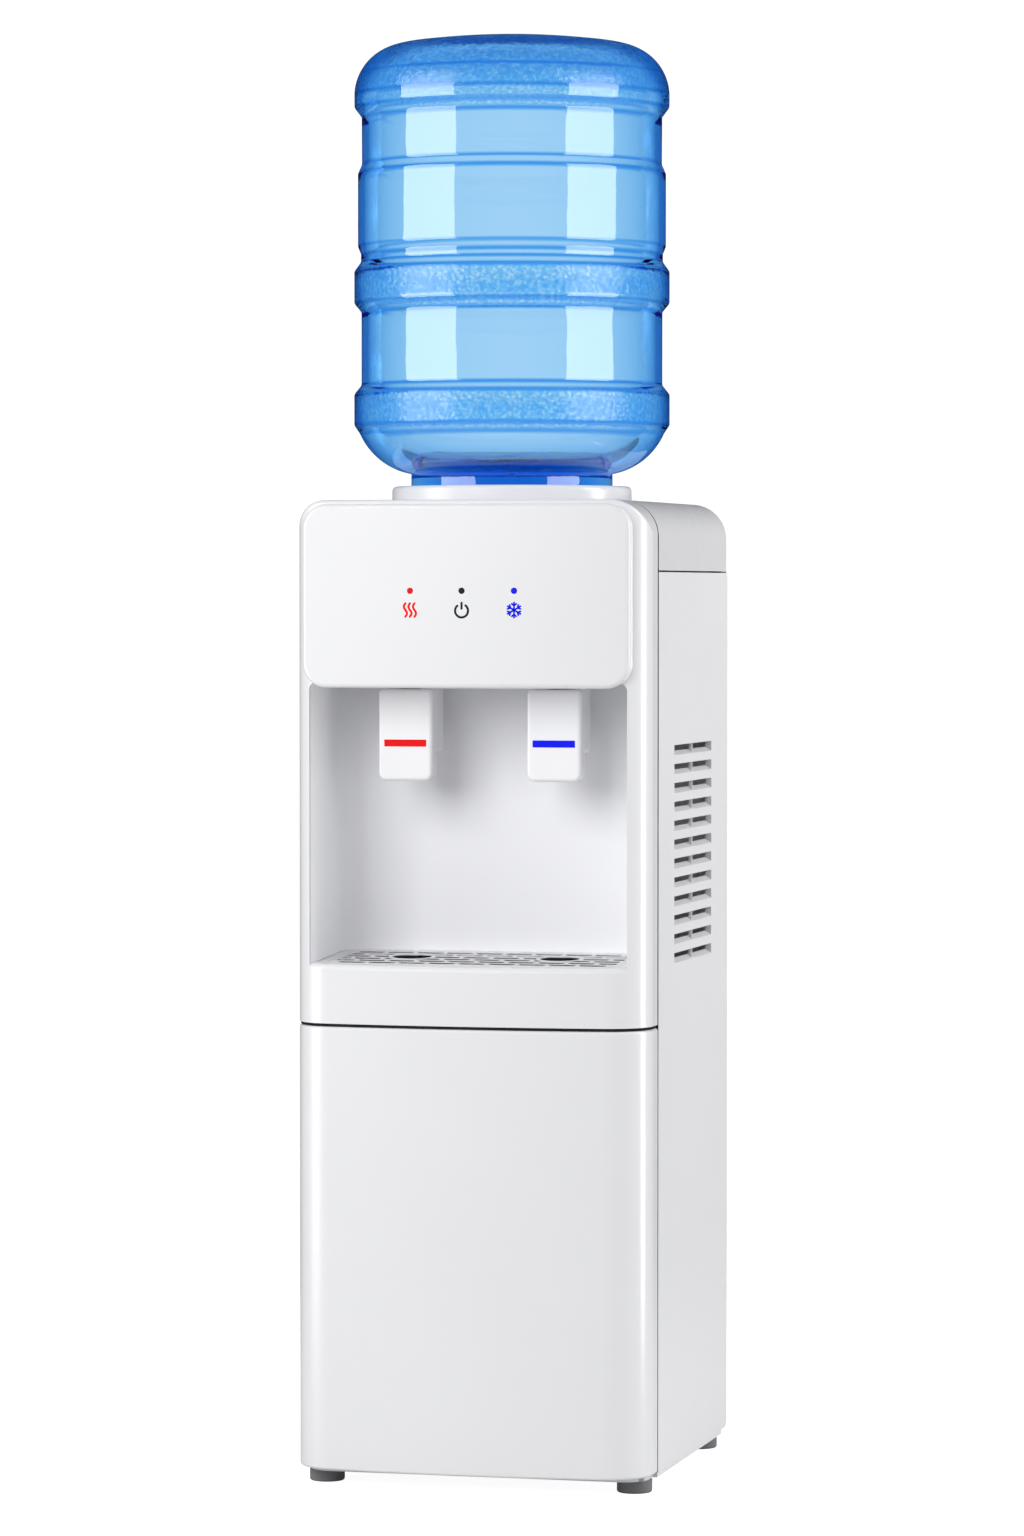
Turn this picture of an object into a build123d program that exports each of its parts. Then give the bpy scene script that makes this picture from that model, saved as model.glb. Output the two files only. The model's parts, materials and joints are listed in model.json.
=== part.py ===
from build123d import *
import os
from math import sqrt, hypot, sin, cos, radians, pi

os.makedirs("parts", exist_ok=True)

# ---------------------------------------------------------------- dimensions
# All lengths in mm.  Floor at z = 0, bottle axis at x = y = 0, front towards -y.
HALF_W = 154.0            # half of the body's width
FRONT_Y = -168.0          # foremost line of the door and the front frame
BOW = 12.0                # how far the front curves back from centre to side
CORNER_R = 38.0           # plan radius of the front corners
SEAM_FRONT = -108.0       # rear edge of the front parts
SEAM_REAR = -105.0        # front edge of the side panels and of the top cover
REAR_Y = 172.0            # rear edge of the casing
CASE_BOTTOM = 16.0        # lower edge of door and side panels
CASE_TOP = 837.5          # top of the casing
TOP_R = 31.0              # radius of the upper long edges
SKIN = 3.0                # wall of the front frame and of the top cover
SIDE_T = 2.0              # wall of the side panels

DOOR_TOP = 392.6
DOOR_T = 2.5
LEDGE_BOTTOM = 395.2
LEDGE_TOP = 450.5         # ledge of the alcove, before it is tilted
LEDGE_BACK = 451.2        # height of the tilted ledge at the alcove's back
LEDGE_TILT = 2.8          # degrees, falling towards the front
ALCOVE_X = 138.0          # half width of the dispensing alcove
ALCOVE_BACK = -40.0
ALCOVE_TOP = 684.0
ALCOVE_R = 22.0
LINER_T = 2.5

PANEL_X = 142.0           # control panel
PANEL_Z0, PANEL_Z1 = 679.2, 834.0
PANEL_PROUD = 4.0
LAMP_Z = 761.0
LAMP_PITCH = 45.0
LAMP_R = 2.7

COVER_SEAM = 777.5        # seam between side panel and top cover
COLLAR_R = 103.5
COLLAR_BORE = 91.0
COLLAR_TOP = 851.0

TAP_X = 65.0
SPOUT_Y = -74.0
LEVER_FACE = -113.0
PIVOT_Y, PIVOT_Z = -90.0, 668.0
LEVER_SWING = 12.0

HINGE_X, HINGE_Y = 143.0, -124.0
HINGE_PIN_R = 3.0

FOOT_R = 15.0
FOOT_H = 11.0
FEET = [(-135.0, -111.0), (135.0, -111.0), (-135.0, 148.0), (135.0, 148.0)]

TANK_Y = 40.0             # axis of both tanks
COLD_R = 62.0
HOT_R = 48.0
BACK_Y = 159.0            # inner face of the back panel
BACK_T = 1.5
FAN_Z = 650.0

LOUVRES = 12
LOUVRE_TOP = 629.5
LOUVRE_PITCH = 16.15
LOUVRE_H = 9.0
LOUVRE_Y0, LOUVRE_Y1 = -44.0, 105.0

# ---------------------------------------------------------------- helpers


def box(x0, x1, y0, y1, z0, z1):
    return Pos((x0 + x1) / 2, (y0 + y1) / 2, (z0 + z1) / 2) * Box(x1 - x0, y1 - y0, z1 - z0)


def rod_z(x, y, z0, z1, r):
    return Pos(x, y, (z0 + z1) / 2) * Cylinder(r, z1 - z0)


def rod_y(x, z, y0, y1, r):
    return Pos(x, (y0 + y1) / 2, z) * Rot(90, 0, 0) * Cylinder(r, y1 - y0)


def rod_x(y, z, x0, x1, r):
    return Pos((x0 + x1) / 2, y, z) * Rot(0, 90, 0) * Cylinder(r, x1 - x0)


def pad_z(x0, x1, y0, y1, z0, z1, r):
    """Block with rounded vertical edges."""
    return Pos((x0 + x1) / 2, (y0 + y1) / 2, z0) * extrude(RectangleRounded(x1 - x0, y1 - y0, r), z1 - z0)


def pad_y(x0, x1, z0, z1, y0, y1, r):
    """Block with rounded edges along y."""
    body = extrude(RectangleRounded(x1 - x0, z1 - z0, r), y1 - y0)
    return Pos((x0 + x1) / 2, y1, (z0 + z1) / 2) * Rot(90, 0, 0) * body


def prism_y(points, y0, y1):
    """Polygon given as (x, z) points, carried along y."""
    face = make_face(Polyline(*[(x, z) for x, z in points], close=True))
    return Pos(0, y1, 0) * Rot(90, 0, 0) * extrude(face, y1 - y0)


def prism_x(points, x0, x1):
    """Polygon given as (y, z) points, carried along x."""
    face = make_face(Polyline(*[(x0, y, z) for y, z in points], close=True))
    return extrude(face, amount=x1 - x0, dir=(1, 0, 0))


def turned(points):
    """Solid of revolution about z from a closed (r, z) outline."""
    face = make_face(Polyline(*[(r, 0, z) for r, z in points], close=True))
    return revolve(face, Axis.Z)


def tube_path(points, r):
    """Straight runs with ball corners."""
    body = None
    for a, b in zip(points, points[1:]):
        va, vb = Vector(*a), Vector(*b)
        d = vb - va
        run = Plane(origin=va, z_dir=d) * extrude(Circle(r), d.length)
        body = run if body is None else body + run
    for p in points[1:-1]:
        body = body + Pos(*p) * Sphere(r)
    return body


def solid_of(shape):
    s = shape.solids()
    return s[0] if len(s) == 1 else Compound(children=list(s))


def save(node, shape):
    export_step(solid_of(shape), "parts/" + node + ".step")


# ---------------------------------------------------------------- plan of the front
BOW_R = (HALF_W ** 2 + BOW ** 2) / (2 * BOW)
BOW_CY = FRONT_Y + BOW_R
CX = HALF_W - CORNER_R
CY = BOW_CY - sqrt((BOW_R - CORNER_R) ** 2 - CX ** 2)


def plan(inset, y_end):
    """Face of the bowed front with rounded corners, reaching back to y_end."""
    a, rc = HALF_W - inset, CORNER_R - inset
    d = hypot(CX, CY - BOW_CY)
    ux, uy = CX / d, (CY - BOW_CY) / d
    tx, ty = CX + rc * ux, CY + rc * uy
    n = hypot(ux + 1, uy)
    mx, my = CX + rc * (ux + 1) / n, CY + rc * uy / n
    line = [
        Line((a, y_end), (a, CY)),
        ThreePointArc((a, CY), (mx, my), (tx, ty)),
        ThreePointArc((tx, ty), (0, FRONT_Y + inset), (-tx, ty)),
        ThreePointArc((-tx, ty), (-mx, my), (-a, CY)),
        Line((-a, CY), (-a, y_end)),
        Line((-a, y_end), (a, y_end)),
    ]
    return make_face(Curve() + line)


def plan_block(inset, y_end, z0, z1):
    return Pos(0, 0, z0) * extrude(plan(inset, y_end), z1 - z0)


def arch(inset, y0, y1, z0):
    """Block under the casing's rounded top, inset by the given wall."""
    a, r = HALF_W - inset, TOP_R - inset
    b = box(-a, a, y0, y1, z0, CASE_TOP - inset)
    edges = b.edges().filter_by(Axis.Y).sort_by(Axis.Z)[-2:]
    return fillet(edges, r)


# ---------------------------------------------------------------- front frame
envelope = plan_block(0, SEAM_FRONT, LEDGE_BOTTOM, CASE_TOP) & arch(0, -300, SEAM_FRONT, 300)
top_rim = [e for e in envelope.edges()
           if e.center().Z > CASE_TOP - 33 and e.center().Y < SEAM_FRONT - 4
           and e.bounding_box().max.Z > CASE_TOP - 31.5
           and abs(e.bounding_box().max.Y - e.bounding_box().min.Y) > 1e-3
           or (e.center().Z > CASE_TOP - 0.1 and e.center().Y < FRONT_Y + 20)]
top_rim = [e for e in top_rim if e.geom_type != GeomType.LINE]
envelope_soft = fillet(top_rim, 4.0)
# The frame's flat sides stand a hair inside the side panels, so the rim's rounding ends on them with a real width.
FRAME_X = HALF_W - 0.2
side_trim = box(-FRAME_X, FRAME_X, -400, 400, 0, 2000)

head = envelope_soft - pad_y(-ALCOVE_X, ALCOVE_X, LEDGE_TOP - 60, ALCOVE_TOP, -300, SEAM_FRONT + 1, 7.0)
# The ledge, the tray and its grille fall towards the front, so that drips run off the back wall.
TILT = Pos(0, ALCOVE_BACK, LEDGE_BACK) * Rot(LEDGE_TILT, 0, 0) * Pos(0, -ALCOVE_BACK, -LEDGE_TOP)
above_ledge = TILT * box(-300, 300, -400, 200, LEDGE_TOP, LEDGE_TOP + 500)
above_skin = TILT * box(-300, 300, -400, 200, LEDGE_TOP - SKIN, LEDGE_TOP + 500)
sill = plan_block(0, SEAM_FRONT, LEDGE_BOTTOM, LEDGE_BACK + 10) - above_ledge
sill_top = [e for e in sill.edges() if e.center().Y < SEAM_FRONT - 1 and e.center().Z > LEDGE_TOP - 15
            and abs(e.bounding_box().max.X + e.bounding_box().min.X) < 0.1]
sill = fillet(sill_top, 4.5)
TRAY_X, TRAY_Y0, TRAY_Y1, TRAY_R = 131.0, -152.0, -46.0, 14.0
RIM_X, RIM_Y0, RIM_Y1, RIM_R = 135.2, -152.4, -42.8, 19.2     # outline of the tray's rim
RIM_Z0, RIM_Z1 = 446.6, 450.3
front_frame = (head & side_trim) + (sill & side_trim)
front_frame = front_frame - (plan_block(SKIN, 0, LEDGE_BOTTOM + SKIN, LEDGE_TOP + 20) - above_skin)
front_frame = front_frame - (plan_block(SKIN, 0, LEDGE_TOP - 15, CASE_TOP - SKIN) & arch(SKIN, -300, 0, 300) & above_ledge)
# The tray well's flange makes the ledge behind the sill's rounded edge.
ledge_flange = TILT * box(-ALCOVE_X - LINER_T, ALCOVE_X + LINER_T, -200, ALCOVE_BACK + LINER_T,
                          LEDGE_TOP - SKIN - 3.6, LEDGE_TOP)
ledge_flange = ledge_flange & plan_block(6.5, 0, 400, 500)
front_frame = front_frame - ledge_flange
# Tabs that reach behind the side panels.
for sgn in (-1, 1):
    for z0 in (480.0, 700.0):
        tab = box(149.0, 151.2, -114.0, -96.0, z0, z0 + 40.0)
        front_frame = front_frame + (tab if sgn > 0 else mirror(tab, Plane.YZ))
for k in (-1, 0, 1):
    front_frame = front_frame - rod_y(k * LAMP_PITCH, LAMP_Z, -180, -150, 3.4)
front_frame = front_frame - rod_z(HINGE_X, HINGE_Y, LEDGE_BOTTOM - 1, LEDGE_BOTTOM + 6, HINGE_PIN_R)
save("front_frame", front_frame)

# ---------------------------------------------------------------- alcove liner and tray well
alcove_outer = pad_z(-ALCOVE_X - LINER_T, ALCOVE_X + LINER_T, -240, ALCOVE_BACK + LINER_T,
                     LEDGE_TOP - 20, ALCOVE_TOP + LINER_T, ALCOVE_R + LINER_T)
alcove_inner = pad_z(-ALCOVE_X, ALCOVE_X, -250, ALCOVE_BACK, LEDGE_TOP - 25, ALCOVE_TOP, ALCOVE_R)
alcove_liner = (alcove_outer - alcove_inner) & plan_block(SKIN, 0, 400, 700) & above_ledge
for s in (-1, 1):
    alcove_liner = alcove_liner - rod_y(s * TAP_X, 640, ALCOVE_BACK - 5, ALCOVE_BACK + 6, 10.5)
save("alcove_liner", alcove_liner)

tray_well = TILT * pad_z(-TRAY_X - 2.5, TRAY_X + 2.5, TRAY_Y0 - 2.5, TRAY_Y1 + 2.5, 420, LEDGE_TOP - SKIN - 3.0, TRAY_R + 2.5)
tray_well = tray_well + ledge_flange
tray_well = tray_well - TILT * pad_z(-TRAY_X, TRAY_X, TRAY_Y0, TRAY_Y1, 422.5, LEDGE_TOP + 5, TRAY_R)
# The rim of the tray lies in a rebate, flush with the ledge.
tray_well = tray_well - TILT * pad_z(-RIM_X - 0.4, RIM_X + 0.4, RIM_Y0 - 0.4, RIM_Y1 + 0.4, RIM_Z0 - 0.1, LEDGE_TOP + 5, RIM_R + 0.4)
save("tray_well", tray_well)

# ---------------------------------------------------------------- drip tray and grille
tray = pad_z(-TRAY_X + 0.5, TRAY_X - 0.5, TRAY_Y0 + 0.5, TRAY_Y1 - 0.5, 423.0, RIM_Z1 - 1.0, TRAY_R - 0.5)
tray = tray + pad_z(-RIM_X, RIM_X, RIM_Y0, RIM_Y1, RIM_Z0, RIM_Z1, RIM_R)
rim_top = [e for e in tray.edges() if abs(e.bounding_box().min.Z - RIM_Z1) < 0.01]
tray = fillet(rim_top, 0.6)
tray = tray - pad_z(-125.0, 125.0, -146.2, -51.6, 425.2, 460, 12.0)
tray = tray - pad_z(-127.2, 127.2, -148.4, -49.4, 446.5, 460, 15.4)
save("drip_tray", TILT * tray)

GR_X, GR_Y0, GR_Y1, GR_R = 126.8, -148.0, -49.8, 15.0
GR_Z0, GR_Z1 = 446.8, 450.4
GR_T = 0.7                # thickness of the pierced plate
CELL_L, CELL_W, RIB = 23.0, 12.0, 3.2
GR_ROWS = 6
HOLE_Y, HOLE_R, HOLE_RING = -90.0, 17.0, 3.4


def grille_cells():
    """Staggered openings, cut off by the grille's rim and by the rings round the two holes."""
    row_pitch, col_pitch = CELL_W + RIB, CELL_L + RIB
    mid = (GR_Y0 + GR_Y1) / 2
    cells = Sketch()
    for j in range(GR_ROWS):
        yc = mid + (j - (GR_ROWS - 1) / 2) * row_pitch
        shift = (0.0, 0.5, 0.2, 0.7, 0.35, 0.85)[j % 6] * col_pitch
        for i in range(-6, 6):
            cells = cells + Pos(i * col_pitch + shift, yc) * RectangleRounded(CELL_L, CELL_W, 3.6)
    cells = cells & (Pos(0, mid) * RectangleRounded(2 * GR_X - 9, GR_Y1 - GR_Y0 - 9, GR_R - 4.5))
    for sgn in (-1, 1):
        cells = cells - Pos(sgn * TAP_X, HOLE_Y) * Circle(HOLE_R + HOLE_RING)
    return [f for f in cells.faces() if f.area > 42]


# A thin pierced plate with a skirt round it that stands in the tray's recess.
grille = pad_z(-GR_X, GR_X, GR_Y0, GR_Y1, GR_Z0, GR_Z1, GR_R)
rim_edges = [e for e in grille.edges() if abs(e.bounding_box().min.Z - GR_Z1) < 0.01]
grille = fillet(rim_edges, 0.8)
grille = grille - pad_z(-GR_X + 2.6, GR_X - 2.6, GR_Y0 + 2.6, GR_Y1 - 2.6, GR_Z0 - 1, GR_Z1 - GR_T, GR_R - 2.6)
for face in grille_cells():
    grille = grille - Pos(0, 0, GR_Z1 - GR_T - 1) * extrude(face, 5)
for sgn in (-1, 1):
    grille = grille - rod_z(sgn * TAP_X, HOLE_Y, GR_Z0 - 1, GR_Z1 + 1, HOLE_R)
save("drip_grille", TILT * grille)

# ---------------------------------------------------------------- control panel and lamps
panel_front = rod_z(0, BOW_CY, PANEL_Z0 - 5, PANEL_Z1 + 5, BOW_R + PANEL_PROUD)
panel = pad_y(-PANEL_X, PANEL_X, PANEL_Z0, PANEL_Z1, -190, -110, 21.0) & panel_front
front_edges = [e for e in panel.edges() if e.center().Y < -150 and e.bounding_box().min.Y < -155]
front_edges = [e for e in front_edges if not (abs(e.center().Y + 110) < 1 or (e.bounding_box().max.Y > -120))]
panel = fillet(front_edges, 4.0)
panel = panel - plan_block(0, 0, 600, 900)
for k in (-1, 0, 1):
    panel = panel - rod_y(k * LAMP_PITCH, LAMP_Z, -190, -140, LAMP_R)
save("control_panel", panel)

for name, k in (("heat_lamp_lens", -1), ("power_lamp_lens", 0), ("cool_lamp_lens", 1)):
    lens = rod_y(k * LAMP_PITCH, LAMP_Z, -180, -160, LAMP_R) & panel_front
    save(name, lens)

board = box(-66, 66, -154.5, -152.9, 738, 784)
for k in (-1, 0, 1):
    board = board + rod_y(k * LAMP_PITCH, LAMP_Z, -159.8, -154.5, 2.5)
board = board + box(-14, 14, -152.9, -148, 768, 780) + box(30, 52, -152.9, -150.6, 742, 756)
for x in (-58, 58):
    board = board + (rod_y(x, 778, -175, -154.5, 3.0) - plan_block(0, 0, 700, 900) + (
        rod_y(x, 778, -175, -154.5, 3.0) & plan_block(SKIN, 0, 700, 900)))
board = board & plan_block(SKIN, 0, 700, 900)
save("indicator_board", board)

# ---------------------------------------------------------------- top cover, collar, bottle seat
cover = arch(0, SEAM_REAR, REAR_Y, COVER_SEAM + 0.7)
rear_edges = [e for e in cover.edges() if abs(e.center().Y - REAR_Y) < 0.01 and e.bounding_box().max.Z > COVER_SEAM + 5]
cover = fillet(rear_edges, 6.0)
cover = cover - arch(SKIN, -300, REAR_Y - SKIN, 300)
lip = arch(SKIN, -114, -92, COVER_SEAM + 0.7) - arch(SKIN + 2, -300, 0, 300)
cover = cover + lip
for s in (-1, 1):
    skirt = box(149, 151, -92, BACK_Y - 3, 766, 792)
    cover = cover + (skirt if s > 0 else mirror(skirt, Plane.YZ))
cover = cover + box(-151, 151, BACK_Y, REAR_Y - 2, COVER_SEAM + 0.7, COVER_SEAM + 2.7)
cover = cover - rod_z(0, 0, 800, 900, 98.0)
save("top_cover", cover)

collar = turned([(COLLAR_BORE, 826), (97.8, 826), (97.8, CASE_TOP), (COLLAR_R, CASE_TOP),
                 (COLLAR_R, COLLAR_TOP), (COLLAR_BORE, COLLAR_TOP)])
top_out = [e for e in collar.edges().filter_by(GeomType.CIRCLE) if abs(e.center().Z - COLLAR_TOP) < 0.01]
top_out = sorted(top_out, key=lambda e: e.radius)
collar = fillet(top_out[-1], 4.0)
inner_edge = [e for e in collar.edges().filter_by(GeomType.CIRCLE)
              if abs(e.center().Z - COLLAR_TOP) < 0.01 and abs(e.radius - COLLAR_BORE) < 0.01]
collar = fillet(inner_edge, 2.0)
save("bottle_collar", collar)

seat = turned([(90.9, 842.0), (90.9, 826.0), (96.5, 826.0), (96.5, 823.0), (88.2, 823.0), (88.2, 838.6),
               (34.5, 798.2), (33.5, 796.0), (33.5, 740.0), (9.5, 740.0), (9.5, 722.0), (7.0, 722.0), (7.0, 742.5),
               (31.0, 742.5), (31.0, 799.7), (87.0, 842.0)])
probe = turned([(7.0, 742.0), (12.0, 742.0), (12.0, 784.0), (4.0, 797.0), (0.0, 797.0), (0.0, 788.0), (7.0, 780.0)])
for a in (0, 90):
    probe = probe - Rot(0, 0, a) * box(-20, 20, -2.5, 2.5, 748, 774)
save("bottle_seat", seat + probe)

# ---------------------------------------------------------------- bottle
WALL = 1.5
outer_pts = [(136.0, 1190.0), (136.0, 1178.0), (129.7, 1169.5), (129.5, 1128.5), (133.0, 1120.5), (133.0, 1058.0),
             (130.4, 1051.5), (130.4, 1044.5), (136.2, 1036.5), (136.2, 1009.0), (130.0, 1001.5), (130.0, 938.5),
             (136.3, 930.5), (136.3, 904.0), (131.5, 896.8)]
inner_pts = [(r - WALL, z) for r, z in outer_pts]


def bottle_face(pts, t):
    side = FilletPolyline(*[(r, 0, z) for r, z in pts], radius=5.0)
    r0, z0 = pts[0]
    r1, z1 = pts[-1]
    top = ThreePointArc((0, 0, 1238.5 - t), (50, 0, 1236.6 - t), (95, 0, 1231.6 - t))
    shoulder = ThreePointArc((95, 0, 1231.6 - t), (121.5 - 0.7 * t, 0, 1220.3 - 0.7 * t), (r0, 0, z0))
    dome = ThreePointArc((r1, 0, z1), (120.4 - 0.8 * t, 0, 880.0 + 0.7 * t), (87.0 - t, 0, 862.0 + t))
    neck_r = 27.5 - 1.8 * t
    tail = Polyline((87.0 - t, 0, 862.0 + t), (87.0 - t, 0, 842.5 + 0.6 * t), (30.0 - 1.2 * t, 0, 799.5 + 0.6 * t),
                    (neck_r, 0, 796.0), (neck_r, 0, 748.0), (0, 0, 748.0), (0, 0, 1238.5 - t))
    return make_face(Curve() + [top, shoulder, side, dome, tail])


bottle = revolve(bottle_face(outer_pts, 0.0), Axis.Z) - revolve(bottle_face(inner_pts, WALL), Axis.Z)
save("water_bottle", bottle)

cap = turned([(13.2, 745.2), (29.5, 745.2), (29.5, 772.0), (27.5, 772.0), (27.5, 748.0), (13.2, 748.0)])
save("bottle_cap", cap)

# ---------------------------------------------------------------- side panels


def side_panel():
    p = box(HALF_W - SIDE_T, HALF_W, SEAM_REAR, REAR_Y, CASE_BOTTOM, COVER_SEAM - 0.7)
    low = [e for e in p.edges() if abs(e.center().Y - REAR_Y) < 0.01 and abs(e.center().Z - CASE_BOTTOM) < 0.01]
    p = chamfer(low, 5.0)
    for z0 in (480.0, 700.0):
        p = p + box(151.2, HALF_W - SIDE_T, SEAM_REAR + 0.1, -96, z0, z0 + 40.0)
    p = p + box(138, HALF_W - SIDE_T, BACK_Y - 2, BACK_Y, 40, 760)
    zb_list = [LOUVRE_TOP - LOUVRE_PITCH * k - LOUVRE_H for k in range(LOUVRES)]
    for zb in zb_list:
        p = p - box(HALF_W - 4, HALF_W + 1, LOUVRE_Y0, LOUVRE_Y1, zb, zb + LOUVRE_H)
    middle = (LOUVRE_Y0 + LOUVRE_Y1) / 2
    for zb in zb_list:
        zt = zb + LOUVRE_H
        p = p + prism_y([(154.0, zb - 0.6), (154.0, zb + 0.4), (153.2, zb + 0.9), (148.5, zb + 3.7), (147.8, zb + 2.8),
                         (152.0, zb - 0.6)], LOUVRE_Y0 - 1.2, LOUVRE_Y1 + 1.2)
        for y0, y1 in ((LOUVRE_Y0 - 1.2, LOUVRE_Y0), (LOUVRE_Y1, LOUVRE_Y1 + 1.2)):
            p = p + prism_y([(152.2, zb), (152.2, zt + 0.6), (150.0, zt + 0.6), (148.4, zb + 5.0), (148.4, zb + 2.4)], y0, y1)
        p = p + box(150.4, 153.0, middle - 1.0, middle + 1.0, zb + 0.6, zt + 0.2)
    return p


right_panel = side_panel()
save("right_side_panel", right_panel)
left_panel = mirror(right_panel, Plane.YZ)
save("left_side_panel", left_panel)

# ---------------------------------------------------------------- back panel
back = box(-152, 152, BACK_Y, BACK_Y + BACK_T, CASE_BOTTOM, COVER_SEAM - 0.7)
for r0, r1 in ((10, 14), (18, 22), (26, 30), (34, 38)):
    ring = Sketch() + Circle(r1) - Circle(r0)
    ring = ring - Rectangle(6, 120) - Rectangle(120, 6)
    back = back - Pos(0, BACK_Y + 5, FAN_Z) * Rot(90, 0, 0) * extrude(ring, 10)
SWITCHES = {"heat": -112.0, "cool": -82.0}
SWITCH_Z = 735.0
for x in SWITCHES.values():
    back = back - box(x - 10, x + 10, BACK_Y - 5, BACK_Y + 5, SWITCH_Z - 14, SWITCH_Z + 14)
GLAND_X, GLAND_Z = 100.0, 70.0
back = back - rod_y(GLAND_X, GLAND_Z, BACK_Y - 5, BACK_Y + 5, 8.0)
DRAIN_Z = 399.0
back = back - rod_y(0, DRAIN_Z, BACK_Y - 5, BACK_Y + 5, 5.0)
SCREWS = [(s * 145.0, z) for s in (-1, 1) for z in (60, 300, 540, 745)]
for x, z in SCREWS:
    back = back - rod_y(x, z, BACK_Y - 5, BACK_Y + 5, 1.8)
save("back_panel", back)

for side, name in ((1, "right_side_panel"), (-1, "left_side_panel")):
    p = right_panel if side > 0 else left_panel
    for x, z in SCREWS:
        if x * side > 0:
            p = p - rod_y(x, z, BACK_Y - 5, BACK_Y + 5, 1.8)
    save(name, p)

screws = []
for x, z in SCREWS:
    head = rod_y(x, z, BACK_Y + BACK_T, BACK_Y + BACK_T + 2.2, 3.8)
    head = fillet([e for e in head.edges() if e.center().Y > BACK_Y + BACK_T + 2], 1.0)
    head = head - box(x - 2.4, x + 2.4, BACK_Y + BACK_T + 1.2, 170, z - 0.45, z + 0.45)
    head = head - box(x - 0.45, x + 0.45, BACK_Y + BACK_T + 1.2, 170, z - 2.4, z + 2.4)
    screws.append((head + rod_y(x, z, BACK_Y - 8, BACK_Y + BACK_T, 1.8)).solids()[0])
export_step(Compound(children=screws), "parts/back_panel_screws.step")

# ---------------------------------------------------------------- base and feet
base = pad_z(-148, 148, -134, 158, 11, 15, 22.0) + box(-152, 152, -100, BACK_Y, 11, 15)
for s in (-1, 1):
    rim = box(149.5, 152, -98, BACK_Y - 3, 15, 40)
    base = base + (rim if s > 0 else mirror(rim, Plane.YZ))
base = base + box(-149.5, 149.5, BACK_Y - 2.5, BACK_Y, 15, 36)
for x, y in FEET:
    base = base - rod_z(x, y, 5, 20, 4.0)
base = base - rod_z(HINGE_X, HINGE_Y, 5, 20, HINGE_PIN_R)
save("base_plate", base)

feet = []
for x, y in FEET:
    f = rod_z(x, y, 0, FOOT_H, FOOT_R)
    f = fillet([e for e in f.edges().filter_by(GeomType.CIRCLE) if e.center().Z < 0.1], 2.0)
    f = f + rod_z(x, y, FOOT_H, 15.6, 4.0)
    feet.append(f.solids()[0])
export_step(Compound(children=feet), "parts/feet.step")

# ---------------------------------------------------------------- storage cabinet
CAB_X, CAB_Y, CAB_Z0, CAB_Z1 = 144.0, 70.0, 18.0, 388.0
liner = box(-CAB_X - 2, CAB_X + 2, -103.5, CAB_Y + 2, CAB_Z0, CAB_Z1)
liner = liner - box(-CAB_X, CAB_X, -200, CAB_Y, CAB_Z0 + 2, CAB_Z1 - 2)
flange = box(-152, 152, -103.5, -101.5, 41, 388) + box(-149, 149, -103.5, -101.5, CAB_Z0, 42)
liner = liner + (flange - box(-CAB_X, CAB_X, -200, 0, CAB_Z0 + 2, CAB_Z1 - 2))
save("cabinet_liner", liner)

deck = box(-152, 152, -101, BACK_Y - 2, 389.0, 391.0)
deck = deck - box(-150, 150, -101, -99, 380, 400)
save("tank_deck", deck)

# ---------------------------------------------------------------- door
door = plan_block(0, SEAM_FRONT, CASE_BOTTOM, DOOR_TOP)
rims = [e for e in door.edges() if e.center().Y < SEAM_FRONT - 1
        and (abs(e.bounding_box().min.Z - CASE_BOTTOM) < 0.01 and abs(e.bounding_box().max.Z - CASE_BOTTOM) < 0.01
             or abs(e.bounding_box().min.Z - DOOR_TOP) < 0.01)]
door = fillet(rims, 2.4)
door = door - plan_block(DOOR_T, 0, CASE_BOTTOM + DOOR_T + 0.5, DOOR_TOP - DOOR_T - 0.5)
for z0, z1 in ((CASE_BOTTOM + 1, 34.0), (374.0, DOOR_TOP - 1)):
    door = door + rod_z(HINGE_X, HINGE_Y, z0, z1, 7.0)
door = door - rod_z(HINGE_X, HINGE_Y, 0, 32.0, HINGE_PIN_R + 0.06)
door = door - rod_z(HINGE_X, HINGE_Y, 378.0, 420, HINGE_PIN_R + 0.06)
PULL_Z0, PULL_Z1 = 208.0, 288.0
door = door - pad_y(-170, -149, PULL_Z0, PULL_Z1, -118, -100, 8.0)
save("cabinet_door", door)

inner_panel = box(-151.4, 151.4, -112.0, -109.6, CASE_BOTTOM + DOOR_T + 0.6, DOOR_TOP - DOOR_T - 0.6)
inner_panel = inner_panel - box(-160, -139, -120, -100, PULL_Z0, PULL_Z1)
save("door_inner_panel", inner_panel)

bracket = box(122, 147.5, -134, -110, LEDGE_BOTTOM + SKIN, 401.0) & plan_block(SKIN, SEAM_FRONT - 0.5, 390, 405)
upper_pin = bracket + rod_z(HINGE_X, HINGE_Y, 378.5, 401.0, HINGE_PIN_R)
lower_pin = rod_z(HINGE_X, HINGE_Y, 11.0, 31.5, HINGE_PIN_R)
export_step(Compound(children=[upper_pin.solids()[0], lower_pin.solids()[0]]), "parts/door_hinge_pins.step")

strike = box(-138, -108, -109.6, -108.1, 322, 346)
strike = strike - rod_y(-132, 334, -120, -100, 1.7) - rod_y(-114, 334, -120, -100, 1.7)
save("catch_strike", strike)
catch = box(-143.5, -112, -107.4, -105.0, 324, 344) + box(-143.9, -134, -105.0, -80, 322, 346)
save("magnet_catch", catch)

# ---------------------------------------------------------------- taps


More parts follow.
